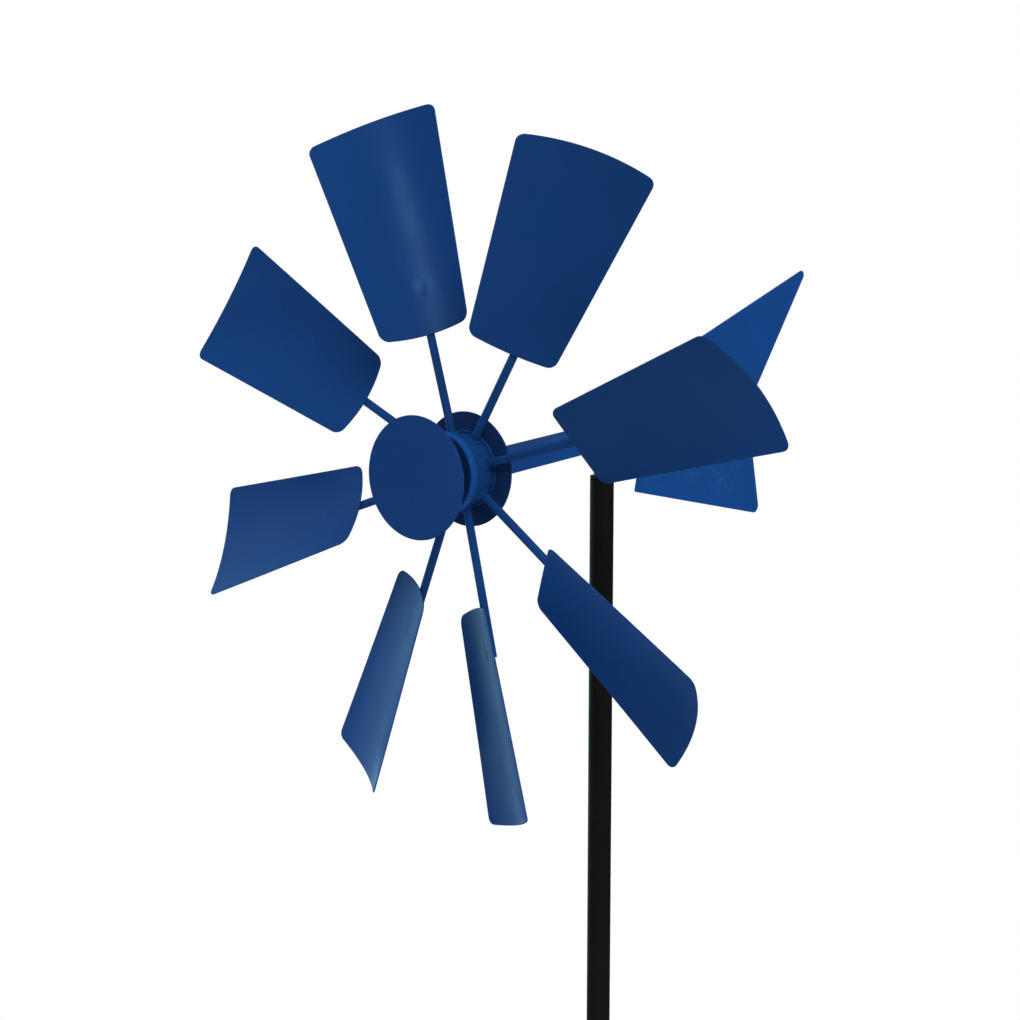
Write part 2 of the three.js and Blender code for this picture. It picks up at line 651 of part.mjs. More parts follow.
// ---------------------------------------------------------------- foot
function stepGeometry() {
  const half = STEP_WIDTH / 2;
  const outline = roundedOutline([
    { x: STEP_START, y: -half, radius: STEP_SEAM_CORNER },
    { x: STEP_START + STEP_LENGTH, y: -half, radius: STEP_CORNER },
    { x: STEP_START + STEP_LENGTH, y: half, radius: STEP_CORNER },
    { x: STEP_START, y: half, radius: STEP_SEAM_CORNER },
  ]);
  const saddle = upright(turned(rodProfile(POST_RADIUS + GAP, -CUT, 2 * CUT), ROUND));
  return cut(extruded(outline, STEP_PLATE), saddle);
}

function prong() {
  const taper = -PRONG_DEPTH + PRONG_TIP;
  const profile = [[0, -PRONG_DEPTH], [TIP_FLAT, -PRONG_DEPTH], [PRONG_RADIUS, taper]];
  return upright(turned([...profile, [PRONG_RADIUS, -GAP], [0, -GAP]], SMALL_ROUND));
}

function spike() {
  const inside = POST_RADIUS - POST_WALL - GAP;
  const top = POST_FOOT - GAP;
  return upright(turned([
    [0, -SPIKE_DEPTH],
    [TIP_FLAT, -SPIKE_DEPTH],
    [POST_RADIUS, top - SPIKE_COLLAR],
    [POST_RADIUS, top],
    [inside, top],
    [inside, top + SPIKE_LAP],
    [0, top + SPIKE_LAP],
  ], BUSH_ROUND));
}

function foot() {
  const group = new THREE.Group();
  const sides = [['right', 0], ['left', 180]];
  for (const [side, turn] of sides) {
    const half = new THREE.Group();
    half.add(piece(`step_${side}`, stepGeometry(), 'postBlack'));
    half.add(piece(`prong_${side}`, prong().translate(PRONG_OFFSET, 0, 0), 'postBlack'));
    half.rotation.set(0, 0, degrees(turn));
    group.add(half);
  }
  group.add(piece('centre_spike', spike(), 'postBlack'));
  return group;
}

const windmill = new THREE.Group();
windmill.add(rotor(), axle(), boomAndTail(), headPivot(), postPivot(), post(), foot());

export default windmill;
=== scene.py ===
import json
import math
import random

import bmesh
import bpy
from mathutils import Matrix, Vector


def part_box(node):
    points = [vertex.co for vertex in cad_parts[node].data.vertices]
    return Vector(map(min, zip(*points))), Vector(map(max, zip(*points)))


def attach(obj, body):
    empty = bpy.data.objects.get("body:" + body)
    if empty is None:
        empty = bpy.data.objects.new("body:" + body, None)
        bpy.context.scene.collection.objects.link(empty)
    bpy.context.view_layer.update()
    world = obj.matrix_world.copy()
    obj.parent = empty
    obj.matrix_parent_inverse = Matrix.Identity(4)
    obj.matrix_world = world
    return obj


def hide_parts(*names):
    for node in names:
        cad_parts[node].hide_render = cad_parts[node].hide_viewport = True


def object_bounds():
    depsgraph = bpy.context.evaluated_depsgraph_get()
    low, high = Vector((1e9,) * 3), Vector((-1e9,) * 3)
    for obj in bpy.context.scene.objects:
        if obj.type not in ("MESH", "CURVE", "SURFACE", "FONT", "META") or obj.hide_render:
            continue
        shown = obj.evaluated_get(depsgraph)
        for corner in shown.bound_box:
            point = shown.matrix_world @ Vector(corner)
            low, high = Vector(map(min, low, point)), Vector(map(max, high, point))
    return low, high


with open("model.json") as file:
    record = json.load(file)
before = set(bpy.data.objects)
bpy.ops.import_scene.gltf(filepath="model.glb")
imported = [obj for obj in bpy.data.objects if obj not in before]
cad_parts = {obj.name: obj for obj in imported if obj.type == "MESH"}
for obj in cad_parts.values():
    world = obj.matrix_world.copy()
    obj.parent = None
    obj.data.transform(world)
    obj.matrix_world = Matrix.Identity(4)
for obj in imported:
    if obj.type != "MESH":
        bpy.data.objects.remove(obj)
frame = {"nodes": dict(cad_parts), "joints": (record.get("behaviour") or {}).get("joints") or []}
CAD_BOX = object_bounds()

# The garden windmill's looks. The mesh makers work in millimetres, in the CAD's frame, and
# make() turns them into metres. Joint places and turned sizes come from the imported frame.
MM = 0.001
JOINTS = {joint["name"]: Vector(joint["pos_m"]) / MM for joint in frame["joints"]}
ROTOR = JOINTS["rotor_spin"]
PIVOT = JOINTS["head_yaw"]
HOLD = 0.8  # distance of the loop that holds a rounded edge tight
MERGE = 1e-4  # points nearer than this are one point
FINE = 96  # segments round a large turned piece
SMALL = 48
BORE = 4.3  # round the axle bolt and the pivot pin
INSIDE_POST = 9.3  # radius of what is pushed into the post
POST_WALL = 1.5

# ------------------------------------------------------------------ materials


class Shader:
    """A node material with short ways to add its nodes."""

    def __init__(self, name):
        self.material = bpy.data.materials.new(name)
        self.material.use_nodes = True
        self.tree = self.material.node_tree
        self.surface = self.tree.nodes["Principled BSDF"]
        self.place = self.tree.nodes.new("ShaderNodeTexCoord").outputs["Object"]

    def node(self, kind, **settings):
        made = self.tree.nodes.new(kind)
        for key, value in settings.items():
            setattr(made, key, value)
        return made

    def link(self, source, target):
        self.tree.links.new(source, target)

    def noise(self, scale, detail=2.0, stretch=None):
        made = self.node("ShaderNodeTexNoise")
        made.inputs["Scale"].default_value = scale
        made.inputs["Detail"].default_value = detail
        place = self.place
        if stretch:
            mapping = self.node("ShaderNodeMapping")
            mapping.inputs["Scale"].default_value = stretch
            self.link(place, mapping.inputs["Vector"])
            place = mapping.outputs["Vector"]
        self.link(place, made.inputs["Vector"])
        return made.outputs["Fac"]

    def cells(self, scale):
        made = self.node("ShaderNodeTexVoronoi")
        made.inputs["Scale"].default_value = scale
        self.link(self.place, made.inputs["Vector"])
        return made.outputs["Color"]

    def span(self, value, low, high, to_low=0.0, to_high=1.0):
        made = self.node("ShaderNodeMapRange", interpolation_type="SMOOTHSTEP")
        self.link(value, made.inputs["Value"])
        limits = {"From Min": low, "From Max": high, "To Min": to_low, "To Max": to_high}
        for key, limit in limits.items():
            made.inputs[key].default_value = limit
        return made.outputs["Result"]

    def math(self, operation, first, second):
        made = self.node("ShaderNodeMath", operation=operation)
        for socket, value in zip(made.inputs, (first, second)):
            if isinstance(value, (int, float)):
                socket.default_value = value
            else:
                self.link(value, socket)
        return made.outputs["Value"]

    def mix(self, share, first, second):
        made = self.node("ShaderNodeMix", data_type="RGBA")
        self.link(share, made.inputs["Factor"])
        for key, value in (("A", first), ("B", second)):
            socket = next(s for s in made.inputs if s.name == key and s.type == "RGBA")
            if isinstance(value, tuple):
                socket.default_value = (*value, 1.0)
            else:
                self.link(value, socket)
        return next(s for s in made.outputs if s.type == "RGBA")

    def edges(self):
        """How far a worn edge is, from the loops that the mesh makers mark."""
        return self.node("ShaderNodeAttribute", attribute_name="wear").outputs["Fac"]

    def bump(self, *layers):
        """Layers are (height, distance in metres)."""
        normal = None
        for height, distance in layers:
            made = self.node("ShaderNodeBump")
            made.inputs["Strength"].default_value = 1.0
            made.inputs["Distance"].default_value = distance
            self.link(height, made.inputs["Height"])
            if normal:
                self.link(normal, made.inputs["Normal"])
            normal = made.outputs["Normal"]
        self.link(normal, self.surface.inputs["Normal"])


def powder_coat(name, colour, shade, worn, roughness, gloss):
    """Sprayed and baked paint: clouded in colour, with orange peel, thin on the edges."""
    s = Shader(name)
    clouds = s.span(s.noise(7.0, 3.0), 0.35, 0.65)
    body = s.mix(clouds, shade, colour)
    speck = s.span(s.noise(1400.0, 1.0), 0.3, 0.75, 0.0, 0.08)
    body = s.mix(speck, body, worn)
    chips = s.span(s.noise(190.0, 4.0), 0.5, 0.66)
    body = s.mix(s.math("MULTIPLY", s.math("MULTIPLY", s.edges(), chips), 0.55), body, worn)
    s.link(body, s.surface.inputs["Base Color"])
    patches = s.span(s.noise(24.0, 4.0), 0.3, 0.7, roughness - 0.03, roughness + 0.04)
    s.link(patches, s.surface.inputs["Roughness"])
    s.surface.inputs["Specular IOR Level"].default_value = gloss
    s.bump((s.noise(14.0, 1.0), 0.0002), (s.noise(430.0, 2.0), 0.00003))
    return s.material


def zinc_plate():
    s = Shader("zinc_plate")
    spangle = s.span(s.cells(240.0), 0.1, 0.9)
    body = s.mix(spangle, (0.36, 0.37, 0.38), (0.55, 0.56, 0.56))
    dull = s.span(s.noise(60.0, 5.0), 0.45, 0.7, 0.0, 0.6)
    body = s.mix(dull, body, (0.25, 0.24, 0.22))
    s.link(body, s.surface.inputs["Base Color"])
    s.link(s.span(s.noise(150.0, 4.0), 0.3, 0.7, 0.26, 0.48), s.surface.inputs["Roughness"])
    s.surface.inputs["Metallic"].default_value = 1.0
    s.bump((s.noise(700.0, 3.0), 0.00003))
    return s.material


def moulded_nylon():
    s = Shader("moulded_nylon")
    body = s.mix(s.span(s.noise(80.0, 3.0), 0.3, 0.7), (0.62, 0.6, 0.52), (0.74, 0.72, 0.66))
    s.link(body, s.surface.inputs["Base Color"])
    s.link(s.span(s.noise(300.0, 2.0), 0.3, 0.7, 0.4, 0.55), s.surface.inputs["Roughness"])
    s.surface.inputs["Subsurface Weight"].default_value = 0.1
    s.surface.inputs["Subsurface Scale"].default_value = 0.002
    s.bump((s.noise(900.0, 2.0), 0.00002))
    return s.material


def studio_floor():
    s = Shader("studio_floor")
    body = s.mix(s.span(s.noise(1.5, 4.0), 0.3, 0.7), (0.9, 0.9, 0.9), (0.93, 0.93, 0.93))
    s.link(body, s.surface.inputs["Base Color"])
    s.surface.inputs["Roughness"].default_value = 0.9
    s.surface.inputs["Specular IOR Level"].default_value = 0.1
    s.surface.inputs["Emission Color"].default_value = (1, 1, 1, 1)
    s.surface.inputs["Emission Strength"].default_value = 0.3
    s.bump((s.noise(40.0, 3.0), 0.0002))
    return s.material


BLADE_BLUE = powder_coat(
    "blade_blue", (0.0052, 0.043, 0.172), (0.0046, 0.038, 0.154), (0.05, 0.12, 0.26), 0.22, 0.13)
HUB_BLUE = powder_coat(
    "hub_blue", (0.005, 0.042, 0.17), (0.0045, 0.037, 0.152), (0.045, 0.11, 0.26), 0.3, 0.13)
# Painted shade: a darker copy of the hub blue for the nose tube and the flange ring's forward
# faces, which lie in the front disc's shadow.
HUB_PAINTED_SHADE = powder_coat(
    "hub_blue_painted_shade", (0.0038, 0.019, 0.069), (0.003, 0.016, 0.059), (0.02, 0.05, 0.12), 0.4, 0.1)
# Painted shade: a darker copy of the hub blue for the rear disc, which lies in the shade of the
# hub and blades.
REAR_DISC_PAINTED_SHADE = powder_coat(
    "hub_blue_rear_painted_shade", (0.007, 0.028, 0.105), (0.006, 0.025, 0.094), (0.045, 0.1, 0.22), 0.35, 0.12)
# Painted light: a brighter copy of the same blue for the boom, fin, yaw sleeve, its welds and the
# flange ring, for faces turned to the light.
PAINTED_LIGHT_BLUE = powder_coat(
    "painted_light_blue", (0.004, 0.06, 0.265), (0.0036, 0.053, 0.24), (0.045, 0.13, 0.32), 0.3, 0.13)
POST_BLACK = powder_coat(
    "post_black", (0.006, 0.006, 0.006), (0.0048, 0.0048, 0.0048), (0.03, 0.03, 0.03), 0.4, 0.18)
ZINC = zinc_plate()
NYLON = moulded_nylon()

# ------------------------------------------------------------------ mesh makers


def mark_edges(bm):
    """Writes each vertex's wear: 1 on a convex edge, 0 on a flat or gently bent surface."""
    layer = bm.verts.layers.float.new("wear")
    flat, sharp = math.radians(14), math.radians(30)
    for vertex in bm.verts:
        angles = [edge.calc_face_angle_signed(0.0) for edge in vertex.link_edges]
        vertex[layer] = min(1.0, max(0.0, (max(angles) - flat) / (sharp - flat)))


def make(name, body, material, shape, matrix=Matrix(), nodes=(), sharp=38, worn=True):
    """Makes a piece from (vertices, faces) in millimetres, riding on a CAD body."""
    vertices, faces = shape
    mesh = bpy.data.meshes.new(name)
    mesh.from_pydata([(matrix @ Vector(v)) * MM for v in vertices], [], faces)
    bm = bmesh.new()
    bm.from_mesh(mesh)
    bmesh.ops.recalc_face_normals(bm, faces=bm.faces)
    if worn:
        mark_edges(bm)
    bm.to_mesh(mesh)
    bm.free()
    mesh.shade_smooth()
    mesh.set_sharp_from_angle(angle=math.radians(sharp))
    mesh.materials.append(material)
    piece = bpy.data.objects.new(name, mesh)
    bpy.context.scene.collection.objects.link(piece)
    weighted = piece.modifiers.new("even_normals", "WEIGHTED_NORMAL")
    weighted.keep_sharp = True
    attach(piece, body)
    if nodes:
        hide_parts(*nodes)
    return piece


def joined(shapes):
    """Several (vertices, faces) as one."""
    vertices, faces = [], []
    for more, loops in shapes:
        start = len(vertices)
        vertices.extend(more)
        faces.extend([tuple(start + i for i in loop) for loop in loops])
    return vertices, faces


def moved(shape, matrix):
    vertices, faces = shape
    return [tuple(matrix @ Vector(v)) for v in vertices], faces


def rounded(points, closed=True, steps=4):
    """Rounds the corners of a polyline of (x, y, radius) and holds each edge with a loop."""
    outline = []
    count = len(points)
    for i, (x, y, radius) in enumerate(points):
        here = Vector((x, y))
        if radius == 0 or (not closed and i in (0, count - 1)):
            outline.append(tuple(here))
            continue
        back = Vector(points[i - 1][:2]) - here
        ahead = Vector(points[(i + 1) % count][:2]) - here
        half = back.angle(ahead) / 2
        reach = radius / math.tan(half)
        room = [min(HOLD, max(0.0, side.length / 2 - reach)) for side in (back, ahead)]
        inward = (back.normalized() + ahead.normalized()).normalized()
        centre = here + inward * (radius / math.sin(half))
        start = here + back.normalized() * reach - centre
        end = here + ahead.normalized() * reach - centre
        outline.append(tuple(centre + start + back.normalized() * room[0]))
        turn = start.angle_signed(end)
        for k in range(steps + 1):
            spin = Matrix.Rotation(-turn * k / steps, 2)
            outline.append(tuple(centre + spin @ start))
        outline.append(tuple(centre + end + ahead.normalized() * room[1]))
    return [p for i, p in enumerate(outline)
            if i == 0 or (Vector(p) - Vector(outline[i - 1])).length > MERGE]


def loft(rings, closed_ring=True, closed_path=False, cap=False):
    """Skins a list of equally long rings of 3-D points."""
    size = len(rings[0])
    vertices = [tuple(p) for ring in rings for p in ring]
    faces = []
    last = len(rings) if closed_path else len(rings) - 1
    for j in range(last):
        for i in range(size if closed_ring else size - 1):
            a, b = j * size + i, j * size + (i + 1) % size
            up = ((j + 1) % len(rings)) * size
            faces.append((a, b, up + (i + 1) % size, up + i))
    if cap:
        faces.append(tuple(range(size - 1, -1, -1)))
        faces.append(tuple((len(rings) - 1) * size + i for i in range(size)))
    return vertices, faces


def lathe(profile, segments=FINE, radius_at=None):
    """Turns (radius, station) points about Y. A point of radius 0 is a pole."""
    vertices, faces, rows = [], [], []
    for k, (radius, station) in enumerate(profile):
        if radius < 1e-6:
            rows.append([len(vertices)] * segments)
            vertices.append((0.0, station, 0.0))
            continue
        rows.append(list(range(len(vertices), len(vertices) + segments)))
        for i in range(segments):
            angle = 2 * math.pi * i / segments
            out, along = radius, station
            if radius_at:
                out, along = radius_at(k, angle, radius, station)
            vertices.append((out * math.cos(angle), along, out * math.sin(angle)))
    solid = profile[0][0] < 1e-6
    pairs = list(zip(rows, rows[1:])) + ([] if solid else [(rows[-1], rows[0])])
    for low, high in pairs:
        for i in range(segments):
            n = (i + 1) % segments
            loop = [low[i], low[n], high[n], high[i]]
            kept = [v for m, v in enumerate(loop) if v != loop[m - 1]]
            if len(kept) > 2:
                faces.append(tuple(kept))
    return vertices, faces


def tube(outer, inner, start, end, fillet, segments=FINE):
    profile = [
        (inner, start, fillet), (outer, start, fillet), (outer, end, fillet), (inner, end, fillet)]
    return lathe(rounded(profile), segments)


def rod(radius, start, end, fillet, segments=SMALL):
    profile = [(0, start, 0), (radius, start, fillet), (radius, end, fillet), (0, end, 0)]
    return lathe(rounded(profile, closed=False), segments)


def plate(outline, thickness, edge, steps=3):
    """A flat sheet along Z from a rounded outline, centred on Z 0, with its edges rounded."""
    count = len(outline)
    normals = []
    for i, (x, y) in enumerate(outline):
        along = Vector(outline[(i + 1) % count]) - Vector(outline[i - 1])
        normals.append(Vector((-along.y, along.x)).normalized())

    def ring(inset, z):
        return [(x + n.x * inset, y + n.y * inset, z) for (x, y), n in zip(outline, normals)]

    top = thickness / 2 - edge
    rings = [ring(edge + HOLD, -thickness / 2)]
    for k in range(steps + 1):
        turn = math.pi / 2 * k / steps
        rings.append(ring(edge * (1 - math.sin(turn)), -top - edge * math.cos(turn)))
    for k in range(steps + 1):
        turn = math.pi / 2 * (1 - k / steps)
        rings.append(ring(edge * (1 - math.sin(turn)), top + edge * math.cos(turn)))
    rings.append(ring(edge + HOLD, thickness / 2))
    return loft(rings, cap=True)


def bead(path, radius, pitch, closed=True, seed=1, sides=10):
    """A weld bead along a path of points: a string of small overlapping ripples."""
    dice = random.Random(seed)
    points = [Vector(p) for p in path]
    count = len(points)
    travelled, rings = 0.0, []
    for i, point in enumerate(points):
        before = points[i - 1] if closed or i else point
        after = points[(i + 1) % count] if closed or i < count - 1 else point
        along = (after - before).normalized()
        side = side - along * side.dot(along) if rings else along.orthogonal()
        side.normalize()
        if i:
            travelled += (point - points[i - 1]).length
        ripple = 1 + 0.13 * abs(math.sin(math.pi * travelled / pitch)) + dice.uniform(-0.05, 0.05)
        if not closed:
            ripple *= min(1.0, 0.35 + 0.3 * min(i, count - 1 - i))
        other = along.cross(side)
        turns = [2 * math.pi * k / sides for k in range(sides)]
        rings.append([
            point + (side * math.cos(t) + other * math.sin(t)) * radius * ripple for t in turns])
    return loft(rings, closed_path=closed, cap=not closed)


def ring_bead(radius, station, thick, seed, around=120):
    """A weld bead round a turned piece, about Y."""
    turns = [2 * math.pi * i / around for i in range(around)]
    path = [(radius * math.cos(t), station, radius * math.sin(t)) for t in turns]
    return bead(path, thick, 2.4, seed=seed)


def hexagon(flats, angle):
    """The distance from a hexagon's centre to its side in a direction."""
    sector = (angle + math.pi / 6) % (math.pi / 3) - math.pi / 6
    return flats / 2 / math.cos(sector)


def hex_body(flats, start, end, bore, chamfer_start, chamfer_end, segments=72):
    """A hexagon head or nut about Y, with its corners chamfered by a cone at each named end."""
    face = flats / 2 * 0.95
    slope = math.tan(math.radians(30))
    inner = [(bore, start), (bore, end)] if bore else [(0, start), (0, end)]
    profile = [inner[0], (face, start), (flats, start), (flats, end), (face, end), inner[1]]

    def side(k, angle, radius, station):
        if k not in (2, 3):
            return radius, station
        out = hexagon(flats, angle)
        drop = (out - face) * slope
        if k == 2:
            return out, station + (drop if chamfer_start else 0)
        return out, station - (drop if chamfer_end else 0)

    return lathe(profile, segments, side)


def threaded(radius, start, end, pitch, segments=SMALL):
    """A threaded shank about Y from start to end, start being its inner end."""
    length = abs(end - start)
    sign = 1 if end > start else -1
    rows = max(4, int(length / pitch * 6))
    depth = 0.55 * pitch
    rings = []
    for j in range(rows + 1):
        along = length * j / rows
        ring = []
        for i in range(segments):
            angle = 2 * math.pi * i / segments
            phase = (along / pitch - angle / (2 * math.pi)) % 1
            fade = min(1.0, (length - along) / pitch)
            out = radius - depth * abs(2 * phase - 1) - (1 - fade) * 0.3 * depth
            ring.append((out * math.cos(angle), start + sign * along, out * math.sin(angle)))
        rings.append(ring)
    return loft(rings, cap=True)


def carved(shape, cutters):
    """Cuts closed shapes out of a closed shape."""
    def solid(part):
        mesh = bpy.data.meshes.new("carving")
        mesh.from_pydata(part[0], [], part[1])
        bm = bmesh.new()
        bm.from_mesh(mesh)
        bmesh.ops.recalc_face_normals(bm, faces=bm.faces)
        bm.to_mesh(mesh)
        bm.free()
        made = bpy.data.objects.new("carving", mesh)
        bpy.context.scene.collection.objects.link(made)
        return made

    target = solid(shape)
    tools = [solid(part) for part in cutters]
    for tool in tools:
        cut = target.modifiers.new("cut", "BOOLEAN")
        cut.operation, cut.solver, cut.object = "DIFFERENCE", "EXACT", tool
    whole = target.evaluated_get(bpy.context.evaluated_depsgraph_get()).to_mesh()
    result = [tuple(v.co) for v in whole.vertices], [tuple(p.vertices) for p in whole.polygons]
    for made in (target, *tools):
        bpy.data.objects.remove(made)
    if not result[1]:
        raise ValueError("a carving has nothing left of it")
    return result


def extents(node, axis):
    """A node's ends along an axis, in millimetres."""
    low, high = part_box(node)
    return low[axis] / MM, high[axis] / MM


def about_rotor(node):
    """A turned rotor piece's outer radius and its stations from the spoke plane."""
    front, back = extents(node, 1)
    return extents(node, 0)[1], front - ROTOR.y, back - ROTOR.y


def upright_sizes(node):
    """An upright turned piece's outer radius, bottom and top."""
    return extents(node, 0)[1], *extents(node, 2)


AT_ROTOR = Matrix.Translation(ROTOR)
UPRIGHT = Matrix.Rotation(math.pi / 2, 4, "X")

# ------------------------------------------------------------------ rotor
# Angle clockwise from the top seen from the front, pitch, reach along the spoke, set across it
# and lean against it.
BLADES = [
    (-15.9, 30.5, 1, -6.4, -2.4), (30.1, 29.8, 2, -8.6, -3.3),
    (74.1, 31, 12, -5.5, -4.5), (126, 25, 2, 3, -2.1),
    (167.2, 32.6, 2, 1.6, -4.8), (201, 31.3, -0.5, 2.8, -2.1),
    (249.8, 33.8, 2.5, 1.3, 2.2), (295.1, 18.3, 0.5, 1.9, 0),
]
TIP, ROOT, TIP_BOW, ROOT_BOW, LEAN_CENTRE = 300.0, 120.4, 5.0, 4.2, 210.0
TIP_SLOPE = math.tan(math.radians(3.8))
BEND, BACK, SHEET, EDGE, CORNER = 182.0, 3.95, 1.2, 0.45, 7.0
RIM = 0.3  # the paint is drawn this far inside the sheet's outline
TIP_HALF, ROOT_HALF = (BEND * math.sin(arc / 2 / BEND) for arc in (119, 79))
SPOKE, LAP = 3.65, 40.0
CORNER_STATIONS = (0.0, 0.12, 0.34, 0.62, 1.0)
SHADE_FACING = 0.97  # how squarely a face of the flange ring looks forward to lie in the recess and get the painted shade
ACROSS_CELLS, ALONG_CELLS = 34, 44


def edge_stations(length, corner, cells):
    near = [corner * share for share in CORNER_STATIONS]
    middle = [corner + (length - 2 * corner) * k / cells for k in range(1, cells)]
    return near + middle + [length - d for d in reversed(near)]


def round_corner(a, b, width, length, corner):
    """Pulls a grid point inside a blade's rounded corner."""
    near_a, near_b = min(a, width - a), min(b, length - b)
    if near_a >= corner or near_b >= corner:
        return a, b
    p, q = 1 - near_a / corner, 1 - near_b / corner
    new_a = corner * (1 - p * math.sqrt(1 - q * q / 2))
    new_b = corner * (1 - q * math.sqrt(1 - p * p / 2))
    return (
        new_a if a < width / 2 else width - new_a,
        new_b if b < length / 2 else length - new_b,
    )


def blade_warp(seed, spoke):
    """A hand-rolled blade's own unevenness, with the mark that the weld of its spoke leaves."""
    dice = random.Random(seed)
    waves = [
        (dice.uniform(0.4, 1.3), dice.uniform(0.3, 1.1), dice.uniform(0, 6.3)) for _ in range(3)]
    mark = dice.uniform(0.35, 0.6)
    lift = dice.uniform(-0.2, 0.5)

    def depth_at(across, along):
        u, v = across / TIP_HALF, (along - ROOT) / (TIP - ROOT)
        wave = sum(math.sin(3.1 * (a * u + b * v) + c) for a, b, c in waves) * 0.09
        lap = math.exp(-((across - spoke) / 9) ** 2) * (1 if along < ROOT + LAP + 6 else 0.3)
        end = along - ROOT - LAP + 3  # from the weld round the spoke's end
        bump = mark * math.exp(-((across - spoke) / 4.5) ** 2 - (end / 5.5) ** 2)
        tip = lift * max(0.0, v - 0.6) ** 2 * u * 4
        inside = max(0.0, 1 - u ** 4) * max(0.0, 1 - (2 * v - 1) ** 8)
        return (wave * (1 - lap) + bump + tip) * inside

    return depth_at


def blade_shape(seed, spoke):
    warp = blade_warp(seed, spoke)

    def grid(inset, depth):
        length, corner = TIP - ROOT - 2 * inset, CORNER - inset
        rows = []
        for b in edge_stations(length, corner, ALONG_CELLS):
            share = (b + inset) / (TIP - ROOT)
            width = 2 * (ROOT_HALF + (TIP_HALF - ROOT_HALF) * share - inset)
            row = []
            for a in edge_stations(width, corner, ACROSS_CELLS):
                a2, b2 = round_corner(a, b, width, length, corner)
                across, rise = a2 - width / 2, (b2 + inset) / (TIP - ROOT)
                half = ROOT_HALF + (TIP_HALF - ROOT_HALF) * rise
                bow = (1 - (across / half) ** 2) * (rise * (TIP_BOW + ROOT_BOW) - ROOT_BOW)
                along = ROOT + (TIP - ROOT + TIP_SLOPE * across) * rise + bow
                turn = math.asin(across / BEND)
                radius = BEND - depth - warp(across, along)
                row.append((radius * math.sin(turn), along, BACK + BEND - radius * math.cos(turn)))
            rows.append(row)
        return rows

    def outline(rows):
        right = [row[-1] for row in rows]
        left = [row[0] for row in reversed(rows)]
        return rows[0][:-1] + right[:-1] + rows[-1][:0:-1] + left[:-1]

    turns = [math.pi / 2 * k / 3 for k in range(4)]
    rim = [(RIM + EDGE * (1 - math.sin(t)), EDGE * (1 - math.cos(t))) for t in turns]
    loops = [(inset, depth) for inset, depth in rim]
    loops += [(inset, SHEET - depth) for inset, depth in reversed(rim)]
    back, front = grid(RIM + EDGE, 0.0), grid(RIM + EDGE, SHEET)
    sides = loft([outline(grid(inset, depth)) for inset, depth in loops])
    return joined([loft(back, closed_ring=False), loft(front, closed_ring=False), sides])


def arm_matrix(angle, pitch):
    """From a blade's own frame (across, out, towards its hollow side) to the rotor's place."""
    tilt = math.radians(pitch)
    across = Vector((math.cos(tilt), math.sin(tilt), 0))
    out = Vector((0, 0, 1))
    hollow = across.cross(out)
    basis = Matrix((across, out, hollow)).transposed().to_4x4()
    return AT_ROTOR @ Matrix.Rotation(math.radians(angle), 4, "Y") @ basis


def spoke_seam(barrel):
    """The weld where a spoke meets the round barrel."""
    path = []
    for i in range(48):
        turn = 2 * math.pi * i / 48
        x, z = (SPOKE + 1.0) * math.cos(turn), (SPOKE + 1.0) * math.sin(turn)
        path.append((x, math.sqrt(barrel ** 2 - x ** 2), z))
    return path


def lap_seam(reach):
    """The weld along both sides of a spoke, and round its end, on the blade's back."""
    side, low, high = SPOKE - 0.2, ROOT + reach + 4, ROOT + reach + LAP - SPOKE
    level = BACK - 1.3
    up = [(side, low + (high - low) * k / 44, level) for k in range(45)]
    end = [(side * math.cos(t), high + SPOKE + side * math.sin(t) - 0.4, level) for t in
           [math.pi * k / 14 for k in range(15)]]
    down = [(-x, y, z) for x, y, z in reversed(up)]
    return up + end + down


def make_arm(number, arm, barrel):
    angle, pitch, reach, offset, lean = arm
    here = arm_matrix(angle, pitch)
    name = f"blade_{number}"
    turn = Matrix.Rotation(-math.radians(lean), 4, "Z") @ Matrix.Translation((0, -LEAN_CENTRE, 0))
    out = here @ Matrix.Translation((offset, LEAN_CENTRE + reach, 0)) @ turn
    blade = moved_clean(blade_shape(number, -offset), out)
    make(name + "_sheet", "rotor", BLADE_BLUE, blade, nodes=[name], sharp=50)
    shape = rod(SPOKE, barrel + 0.3, ROOT + reach + LAP, 0.6, 36)
    spoke = f"spoke_{number}"
    make(spoke + "_rod", "rotor", BLADE_BLUE, shape, here, [spoke])
    seams = [
        bead(spoke_seam(barrel), 1.5, 2.0, seed=number),
        bead(lap_seam(reach), 1.7, 2.2, False, number),
    ]
    # the seam round the spoke's foot lies in the spoke's frame turned to the barrel's axis
    foot = here @ Matrix.Rotation(math.radians(pitch), 4, "Y")
    welds = joined([moved(seams[0], foot), moved(seams[1], here)])
    make(spoke + "_welds", "rotor", BLADE_BLUE, welds, sharp=60, worn=False)


def moved_clean(shape, matrix):
    """Moves a shape and merges the points where its sheets meet."""
    vertices, faces = moved(shape, matrix)
    bm = bmesh.new()
    made = [bm.verts.new(v) for v in vertices]
    for loop in faces:
        bm.faces.new([made[i] for i in loop])
    bmesh.ops.remove_doubles(bm, verts=bm.verts, dist=MERGE)
    bm.verts.index_update()
    result = [tuple(v.co) for v in bm.verts], [tuple(v.index for v in f.verts) for f in bm.faces]
    bm.free()
    return result


